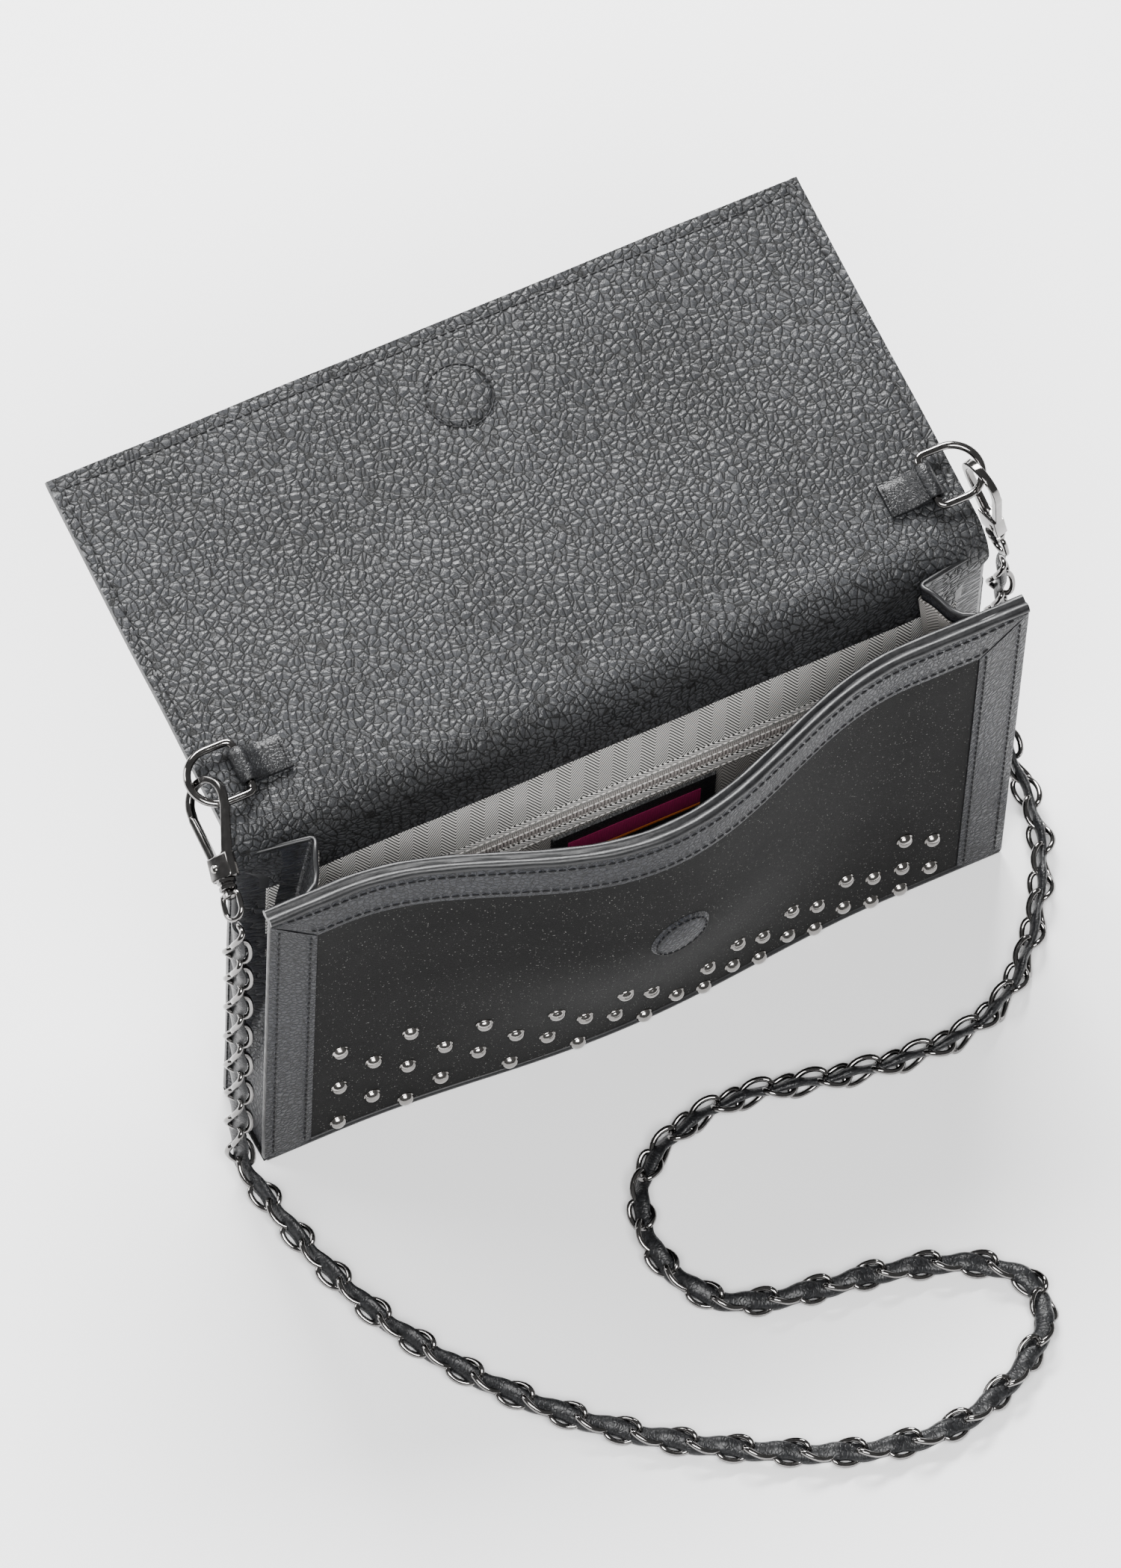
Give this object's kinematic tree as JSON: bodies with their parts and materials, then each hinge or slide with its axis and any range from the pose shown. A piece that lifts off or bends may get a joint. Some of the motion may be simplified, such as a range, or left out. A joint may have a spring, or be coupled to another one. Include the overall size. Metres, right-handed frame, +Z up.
{
  "type": "envelope crossbody clutch",
  "caption": "Envelope clutch with an open magnetic flap, folded gussets, a zip pocket inside and a leather-threaded chain strap on trigger hooks.",
  "frame": {"origin": "middle of the underside of the base", "axes": "+X across the bag to the wearer's side with the right hook, +Y to the back, +Z up; the front faces -Y"},
  "size_m": [0.3161, 0.3678, 0.188],
  "materials": {
    "leather": "black pebbled grain",
    "edge": "glossy black edge paint",
    "suede": "black nubuck",
    "herringbone": "grey and white herringbone twill",
    "pocket_cloth": "plain woven",
    "board": "stiffening board",
    "zip_tape": "taupe woven tape",
    "zip_coil": "nylon coil",
    "gunmetal": "polished gunmetal plating",
    "magnet": "nickel-plated magnet",
    "chain": "gunmetal curb chain threaded with a black leather strip"
  },
  "bodies": {
    "bag": {"back_panel": "leather", "back_facing": "leather", "label_patch": "leather", "gusset_left": "leather", "gusset_right": "leather", "front_top_trim": "leather", "front_side_trim_left": "leather", "front_side_trim_right": "leather", "front_magnet_cover": "leather", "back_fold": "leather", "back_top_binding": "edge", "front_rim_binding": "edge", "front_suede_panel": "suede", "base_panel": "suede", "front_lining": "herringbone", "back_lining_upper": "herringbone", "back_lining_lower": "herringbone", "gusset_lining_left": "herringbone", "gusset_lining_right": "herringbone", "base_lining": "herringbone", "zip_pocket_bag": "pocket_cloth", "base_board": "board", "zip_tape_upper": "zip_tape", "zip_tape_lower": "zip_tape", "zip_coil_upper": "zip_coil", "zip_coil_lower": "zip_coil", "zip_stop_left": "gunmetal", "zip_stop_right": "gunmetal", "front_magnet": "magnet", "chain_left": "chain", "chain_right": "chain"},
    "zip_slider": {"zip_slider": "gunmetal"},
    "zip_pull": {"zip_pull": "gunmetal"},
    "flap_top": {"flap_top_outer": "leather", "flap_top_core": "board", "flap_top_lining": "leather", "front_fold": "leather", "ring_tab_left": "leather", "ring_tab_right": "leather"},
    "flap_main": {"flap_outer": "leather", "flap_core": "board", "flap_lining": "leather", "flap_magnet": "magnet", "flap_magnet_cover": "leather"},
    "d_ring_left": {"d_ring_left": "gunmetal"},
    "hook_left": {"hook_body_left": "gunmetal", "hook_rivet_left": "gunmetal"},
    "gate_left": {"hook_gate_left": "gunmetal"},
    "eye_left": {"hook_eye_left": "gunmetal"},
    "d_ring_right": {"d_ring_right": "gunmetal"},
    "hook_right": {"hook_body_right": "gunmetal", "hook_rivet_right": "gunmetal"},
    "gate_right": {"hook_gate_right": "gunmetal"},
    "eye_right": {"hook_eye_right": "gunmetal"}
  },
  "joints": [
    {"name": "flap_back_fold", "type": "hinge", "parent": "bag", "child": "flap_top", "pos_m": [0, 0.0148, 0.163], "axis": [1, 0, 0], "range_deg": [0, 155.5], "deforming": ["front_suede_panel", "front_top_trim", "front_rim_binding", "front_lining", "front_magnet", "front_magnet_cover", "chain_left"]},
    {"name": "flap_front_fold", "type": "hinge", "parent": "flap_top", "child": "flap_main", "pos_m": [0, 0.05229, 0.16921], "axis": [1, 0, 0], "range_deg": [0, 107.6]},
    {"name": "zip_slider_travel", "type": "slide", "parent": "bag", "child": "zip_slider", "axis": [1, 0, 0], "range_m": [0, 0.18]},
    {"name": "zip_pull_hinge", "type": "hinge", "parent": "zip_slider", "child": "zip_pull", "pos_m": [-0.082, 0.006, 0.09815], "axis": [0, 0, 1], "range_deg": [0, 150]},
    {"name": "d_ring_left_swing", "type": "hinge", "parent": "flap_top", "child": "d_ring_left", "pos_m": [-0.125, 0.03617, 0.17171], "axis": [0, 0.9866, 0.1633], "range_deg": [0, 2.5]},
    {"name": "hook_left_swing", "type": "hinge", "parent": "d_ring_left", "child": "hook_left", "pos_m": [-0.14139, 0.02936, 0.17058], "axis": [-0.8404, -0.437, 0.3205], "range_deg": [0, 78.11]},
    {"name": "gate_left_hinge", "type": "hinge", "parent": "hook_left", "child": "gate_left", "pos_m": [-0.14723, 0.00804, 0.16392], "axis": [0.7714, -0.0124, -0.6362], "range_deg": [0, 12], "stiffness_Nm_per_rad": 0.02, "springref_deg": -17.19},
    {"name": "eye_left_swivel", "type": "hinge", "parent": "hook_left", "child": "eye_left", "pos_m": [-0.14864, -0.00495, 0.16246], "axis": [0.2014, 0.9532, 0.2256], "continuous": true},
    {"name": "d_ring_right_swing", "type": "hinge", "parent": "flap_top", "child": "d_ring_right", "pos_m": [0.1285, 0.03617, 0.17171], "axis": [0, -0.9866, -0.1633], "range_deg": [0, 2.5]},
    {"name": "hook_right_swing", "type": "hinge", "parent": "d_ring_right", "child": "hook_right", "pos_m": [0.14489, 0.02936, 0.17058], "axis": [1, 0, 0], "range_deg": [-101.5, 0]},
    {"name": "gate_right_hinge", "type": "hinge", "parent": "hook_right", "child": "gate_right", "pos_m": [0.14924, 0.02408, 0.14853], "axis": [-0.9695, -0.1987, -0.1435], "range_deg": [0, 12], "stiffness_Nm_per_rad": 0.02, "springref_deg": -17.19},
    {"name": "eye_right_swivel", "type": "hinge", "parent": "hook_right", "child": "eye_right", "pos_m": [0.15116, 0.02412, 0.13552], "axis": [-0.174, 0.1455, 0.9739], "continuous": true}
  ],
  "couplings": [
    {"joint": "flap_front_fold", "follows": "flap_back_fold", "ratio": 0.6913},
    {"joint": "hook_left_swing", "follows": "flap_back_fold", "ratio": 0.50225},
    {"joint": "hook_right_swing", "follows": "flap_back_fold", "ratio": -0.65}
  ]
}
